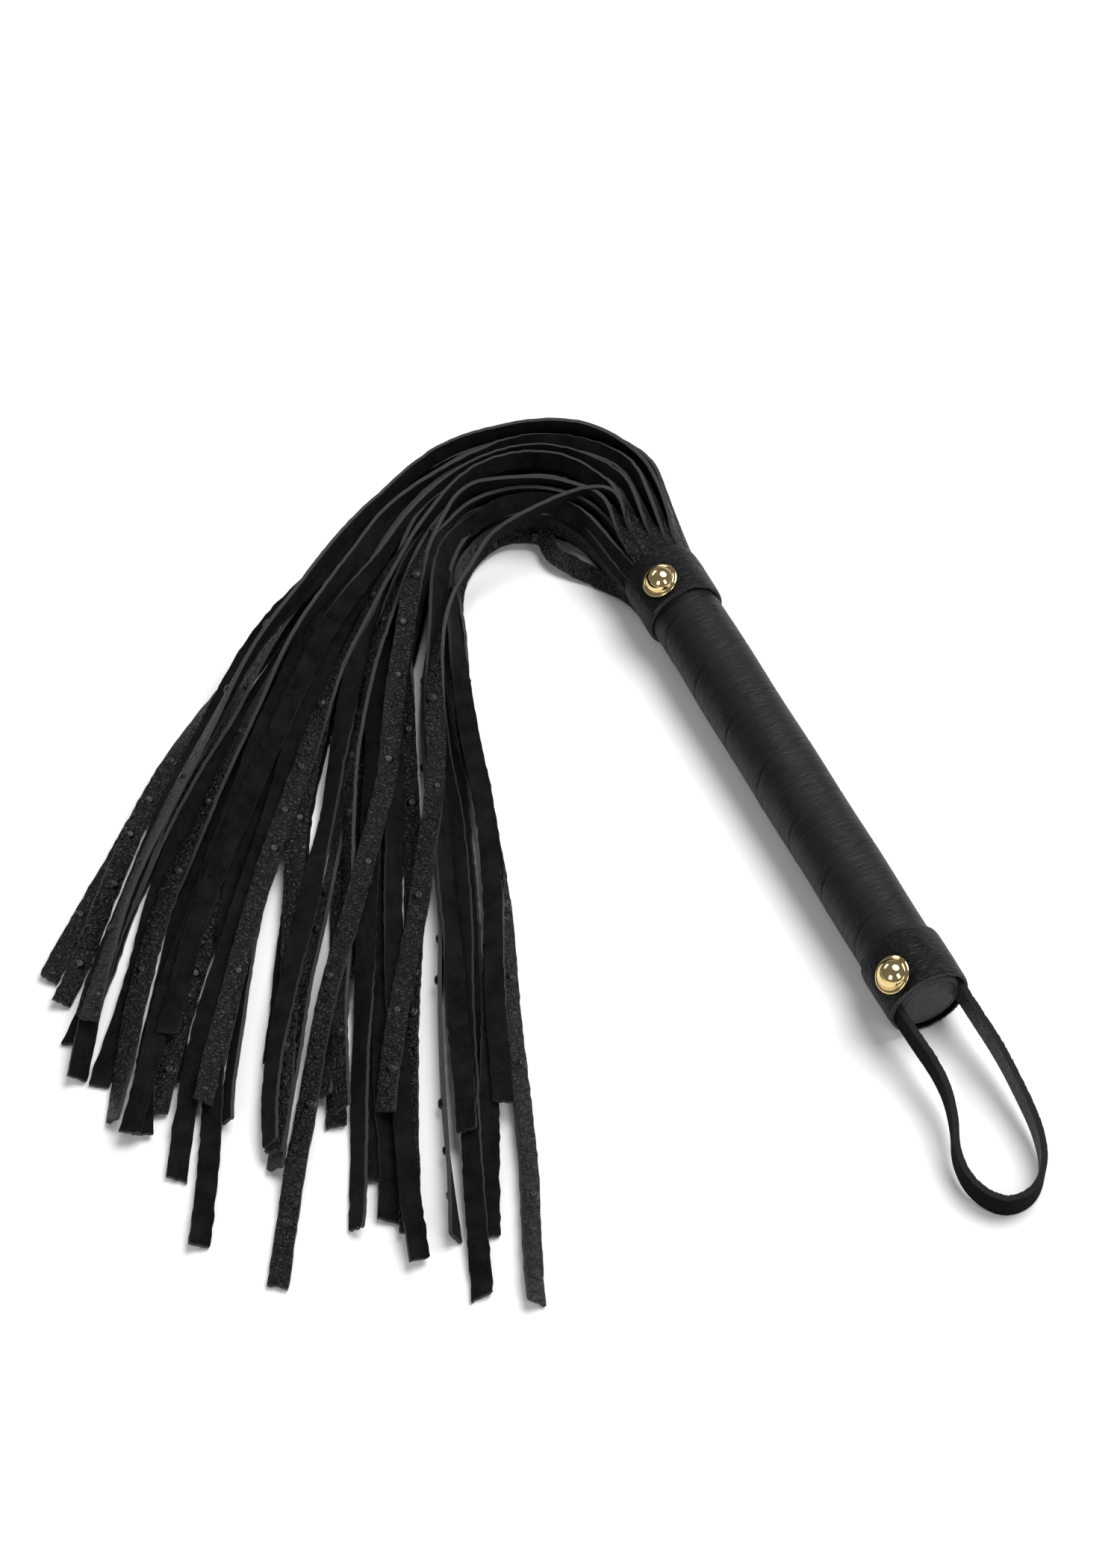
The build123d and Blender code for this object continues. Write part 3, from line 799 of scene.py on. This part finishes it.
    def bumps(self, strip, start):
        """Quill bumps on the grain, apart from where it faces down, in a darker leather as painted shade.
        """
        made = []
        k = start + self.rng.integers(4, 22)
        while k < len(self.line) - 4:
            across = self.rng.uniform(-0.0012, 0.0012)
            radius = self.rng.uniform(0.0018, 0.0023)
            cup = strip.cup * (1 - (2 * across / THONG_WIDTH) ** 2)
            normal = strip.normals[k]
            centre = self.line[k] + across * strip.widths[k] + (THONG_THICKNESS / 2 + cup) * normal
            place = (self.along[k], across, strip.face_number(1))
            if normal[2] > -0.3:
                made.append(quill_bump(centre, normal, radius, radius * 0.5, [SHADED_BUMP_LEATHER], place))
            k += self.rng.integers(7, 24)
        return made


def add_thong(name, thong, strip, seam):
    """The strip past the root's face, with its bumps if it is one that has them."""
    obj = strip.build(f"{name}_strip", THONG_MATERIALS, seam, None, (False, True))
    if thong.number % 2 or thong.top == "grain":
        obj = join(obj.name, [obj] + thong.bumps(strip, seam))
    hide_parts(name)
    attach(obj, "falls")


def make_fall():
    """All thongs, level by level: the roots are joined into one fixed mesh, and the rest swings with the
    falls.
    """
    ground = Ground()
    roots = []
    for level, rows in enumerate(LEVELS):
        for rank, row in enumerate(rows):
            number = len(roots) + 1
            thong = Thong(number, level, rank, len(rows), row)
            thong.settle(ground)
            strip = Strip(thong.line, thong.roll, THONG_WIDTH, THONG_THICKNESS, number)
            seam = thong.seam()
            roots.append(strip.build(f"root_{number:02d}", THONG_MATERIALS, 0, seam + 1, (True, False)))
            add_thong(f"thong_{number:02d}", thong, strip, seam)
    root = join("thong_roots", roots)
    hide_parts("falls_root")
    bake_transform(root)


# ---- the grip ----
def ring_faces(rings, around):
    """The faces between rings of as many points each, with a cap at each end."""
    faces = []
    for a in range(0, (rings - 1) * around, around):
        for j in range(around):
            following = (j + 1) % around
            faces.append((a + j, a + following, a + around + following, a + around + j))
    faces.append(tuple(range(around))[::-1])
    faces.append(tuple(range((rings - 1) * around, rings * around)))
    return faces


def lathe(name, profile, base, outward, ahead, materials, around):
    """A round piece from (radius, height) pairs, whose heights run outward from its base."""
    sideways = ahead.cross(outward)
    points = []
    for radius, height in profile:
        for j in range(around):
            angle = 2 * pi * j / around
            points.append(base + outward * height + (ahead * cos(angle) + sideways * sin(angle)) * radius)
    obj = add_mesh(name, points, ring_faces(len(profile), around), materials)
    bm = bmesh.new()
    bm.from_mesh(obj.data)
    bmesh.ops.recalc_face_normals(bm, faces=bm.faces)
    bm.to_mesh(obj.data)
    bm.free()
    return obj


def rivet(name, node, y, tilt):
    """A polished dome on a thin flange with a rounded rim."""
    flange, rim, dome, rise, seat, steps = 0.0063, 0.0008, 0.005, 0.0043, 0.0149, 22
    ball = (dome ** 2 + rise ** 2) / (2 * rise)
    profile = [(0.0012, 0.0), (flange - 0.0003, 0.0), (flange, 0.0003), (flange - 0.0001, 0.00055),
               (flange - 0.0004, rim), (dome + 0.0003, rim), (dome, rim + 0.0001)]
    for i in range(1, steps):
        angle = np.arcsin(dome / ball) * (1 - i / steps)
        profile.append((ball * sin(angle), rim + rise - ball + ball * cos(angle)))
    outward = Vector((-sin(tilt), 0, cos(tilt)))
    base = Vector((0, y, AXIS_Z)) + outward * seat
    obj = lathe(name, profile, base, outward, Vector((0, 1, 0)), [GOLD], 72)
    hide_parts(node)
    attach(obj, "handle")


# Quill marks on the grip: how far along it, and how many degrees round from the top.
GRIP_BUMPS = [(0.085, 8), (0.070, 36), (0.050, 4), (0.050, 62), (0.032, 12), (0.012, -14), (-0.014, 22),
              (-0.022, 70), (-0.038, 75), (-0.060, -20), (0.092, -30), (0.02, 120), (-0.03, 160),
              (0.06, 190), (-0.05, 230), (0.0, 260), (0.08, 250)]


def grip_relief(y, a):
    """Gentle unevenness, and the quill marks: low domes, each with a pit in its middle."""
    rng = np.random.default_rng(7)
    relief = np.zeros_like(y)
    for k in range(5):
        waves, phase = rng.uniform(40, 160), rng.uniform(0, 6.28)
        relief += 0.00005 * np.sin(waves * y + phase + (k + 1) * a)
    for along, degrees_round in GRIP_BUMPS:
        off = (a - radians(degrees_round) + pi) % (2 * pi) - pi
        away = np.hypot(y - along, off * WRAP_RADIUS)
        relief += 0.00042 * np.exp(-(away / 0.0013) ** 2) - 0.0005 * np.exp(-(away / 0.0006) ** 2)
    return relief


def grip_wrap():
    """A leather strap wound round the grip in a spiral, edge against edge.

    Its seam is open on one side and along a narrow band, and nearly pressed shut elsewhere.
    """
    pitch, first_seam, groove, depth, raised_edge = 0.0232, 0.0035, 0.00045, 0.0005, 0.00012
    rows, around = 420, 132
    ys = np.linspace(WRAP_LOW.y, WRAP_HIGH.y, rows)
    angles = np.arange(around) * 2 * pi / around
    y, a = np.meshgrid(ys, angles, indexing="ij")
    turn = (y - first_seam) / pitch + a / (2 * pi)
    off_seam = (turn - np.rint(turn)) * pitch
    shown = 0.06 + 0.94 * smooth(0.1, 0.6, np.sin(a - 0.35)) + 0.45 * smooth(0.75, 0.95, np.sin(a + 2.2))
    in_groove = shown * np.exp(-(off_seam / groove) ** 2)
    radius = WRAP_RADIUS - 0.0001 - depth * in_groove
    radius += raised_edge * shown * smooth(-0.004, 0, off_seam) * (off_seam < 0)
    radius += grip_relief(y, a)
    points = np.stack([-radius * np.sin(a), y, AXIS_Z + radius * np.cos(a)], axis=-1).reshape(-1, 3)
    obj = add_mesh("grip_wrap", points, ring_faces(rows, around), [GRIP_LEATHER])
    # The groove's depth is kept as the mask for the painted shade in the seam.
    seam = obj.data.attributes.new("seam", "FLOAT", "POINT")
    seam.data.foreach_set("value", in_groove.astype(np.float32).ravel())
    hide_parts("handle_wrap")
    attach(obj, "handle")


# The middle of a collar's strap, from the grip's axis: where it lies on the grip, and
# where its riveted end lies over its start.
COLLAR_LOW = 0.01325
COLLAR_HIGH = 0.0146


def shape_collar(obj, y_low, width, rivet_y, rivet_way):
    """Rounds the outside off towards both rims, presses it in under the rivet and ripples it."""
    rounding, press, press_reach = 0.00035, 0.00055, (0.0055, 0.0095)
    seat = Vector((0, rivet_y, AXIS_Z)) + rivet_way * 0.0155
    for vertex in obj.data.vertices:
        out = Vector((vertex.co.x, 0, vertex.co.z - AXIS_Z))
        if out.length < COLLAR_LOW:
            continue
        inward = rounding * abs(2 * (vertex.co.y - y_low) / width - 1) ** 8
        inward -= 0.00022 * noise.noise(vertex.co * 95) + 0.0001 * noise.noise(vertex.co * 260)
        from_seat = vertex.co - seat
        if from_seat.dot(rivet_way) >= -0.006:
            inward += press * float(1 - smooth(*press_reach, from_seat.length))
        vertex.co -= out.normalized() * inward


def collar(name, node, rivet_y, tilt):
    """A strap wrapped once round the grip, whose riveted end lies over its start."""
    low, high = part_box(node)
    width = high.y - low.y
    thickness, flap, under, easing = 0.0012, radians(66), radians(64), radians(55)
    turns = np.arange(0, 2 * pi + under, radians(2))
    radius = COLLAR_HIGH + (COLLAR_LOW - COLLAR_HIGH) * smooth(flap, flap + easing, turns)
    angle = tilt + radians(34) - turns
    outward = np.stack([-np.sin(angle), 0 * angle, np.cos(angle)], axis=1)
    line = np.array([0, (low.y + high.y) / 2, AXIS_Z]) + radius[:, None] * outward
    sides = np.tile([0.0, 1.0, 0.0], (len(line), 1))
    strip = Strip(line, np.zeros(len(line)), width, thickness, 50 + int(tilt * 50), sides, cup=0.0,
                  ragged=0.00007, across=31, torn_end=False)
    strip.normals = outward
    obj = strip.build(name, COLLAR_MATERIALS)
    shape_collar(obj, low.y, width, rivet_y, Vector((-sin(tilt), 0, cos(tilt))))
    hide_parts(node)
    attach(obj, "handle")


def butt_disc():
    """The end disc: a leather-covered plug with a pressed line inside its rim, its leather painted paler
    as painted light.
    """
    low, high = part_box("butt_disc")
    radius = (high.z - low.z) / 2
    profile = [(0.0030, 0.0002), (0.0060, 0.0002), (0.0086, 0.0002), (0.0093, 0.0001),
               (0.0096, -0.00025), (0.0099, 0.0001), (0.0106, 0.00005), (0.0110, -0.0003),
               (radius, -0.0009), (radius, low.y - high.y)]
    base, outward, sideways = Vector((0, low.y, AXIS_Z)), Vector((0, -1, 0)), Vector((1, 0, 0))
    obj = lathe("butt_cover", profile, base, outward, sideways, [LIT_DISC_LEATHER], 96)
    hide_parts("butt_disc")
    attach(obj, "handle")


# ---- the wrist loop ----
def wrist_loop():
    """A strap on edge, from one side of the butt round to the other, sloping to the table."""
    start = LOOP_HINGE_Y - BUTT_Y
    slope = (AXIS_Z - STRAP_HEIGHT / 2 - 0.0003) / (LOOP_REACH + start)
    leg = [0.015, 0.004, start]
    route = [(-STRAP_CENTRE_X, y) for y in leg] + LOOP_ROUTE + [(STRAP_CENTRE_X, y) for y in leg[::-1]]
    points = [(x, BUTT_Y + y, AXIS_Z + min(0.0, y - start) * slope) for x, y in route]
    line = spline_line(points, STRAP_STEP)
    strip = Strip(line, np.full(len(line), pi / 2), STRAP_HEIGHT, STRAP_THICKNESS, 77, cup=0.0,
                  ragged=np.array([0.00005, 0.00017]))
    obj = strip.build("wrist_strap", STRAP_MATERIALS)
    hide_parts("wrist_loop", "loop_anchor_left", "loop_anchor_right")
    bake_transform(obj)


# ---- light and floor ----
def area_light(name, place, aim, size, energy, colour=(1, 1, 1), shape="RECTANGLE"):
    """A soft light of a size in metres and an energy in watts, turned to its aim."""
    data = bpy.data.lights.new(name, "AREA")
    data.shape = shape
    data.size, data.size_y = size
    data.energy = energy
    data.color = colour
    light = bpy.data.objects.new(name, data)
    light.location = place
    light.rotation_euler = (Vector(aim) - Vector(place)).to_track_quat("-Z", "Y").to_euler()
    bpy.context.scene.collection.objects.link(light)


def add_surroundings():
    """A pale floor, a dim even sky, one large soft light and three weaker windows."""
    half = 6
    corners = [(-half, -half, 0), (half, -half, 0), (half, half, 0), (-half, half, 0)]
    mesh = bpy.data.meshes.new("floor")
    mesh.from_pydata(corners, [], [(0, 1, 2, 3)])
    mesh.materials.append(table_top())
    floor = bpy.data.objects.new("floor", mesh)
    bpy.context.scene.collection.objects.link(floor)
    world = bpy.data.worlds.new("world")
    bpy.context.scene.world = world
    world.use_nodes = True
    background = world.node_tree.nodes["Background"]
    background.inputs["Color"].default_value = (0.95, 0.97, 1.0, 1)
    background.inputs["Strength"].default_value = 0.22
    middle = (-0.05, 0.02, 0)
    area_light("key", (0.62, 0.22, 1.42), middle, (1.2, 1.2), 30, (1, 0.995, 0.985), "DISK")
    area_light("window_left", (-1.0, -0.95, 0.85), middle, (0.6, 0.8), 5)
    area_light("window_front", (0.45, -1.15, 0.8), middle, (0.5, 0.8), 4.5)
    area_light("back", (-0.5, 1.3, 0.9), middle, (0.9, 0.4), 4)
    bpy.context.scene.view_settings.view_transform = "Standard"


def finish_inner_nodes():
    """The CAD nodes that stay, with their own finishes."""
    for node, material in (("handle_core", WOOD), ("falls_header", COLLAR_MATERIALS[1]),
                           ("upper_rivet_post", GOLD), ("lower_rivet_post", GOLD)):
        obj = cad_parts[node]
        obj.data.materials.clear()
        obj.data.materials.append(material)


add_camera()
make_fall()
grip_wrap()
collar("upper_collar_strap", "upper_collar", *UPPER_RIVET)
collar("lower_collar_strap", "lower_collar", *LOWER_RIVET)
rivet("upper_rivet", "upper_rivet_cap", *UPPER_RIVET)
rivet("lower_rivet", "lower_rivet_cap", *LOWER_RIVET)
butt_disc()
wrist_loop()
finish_inner_nodes()
add_surroundings()
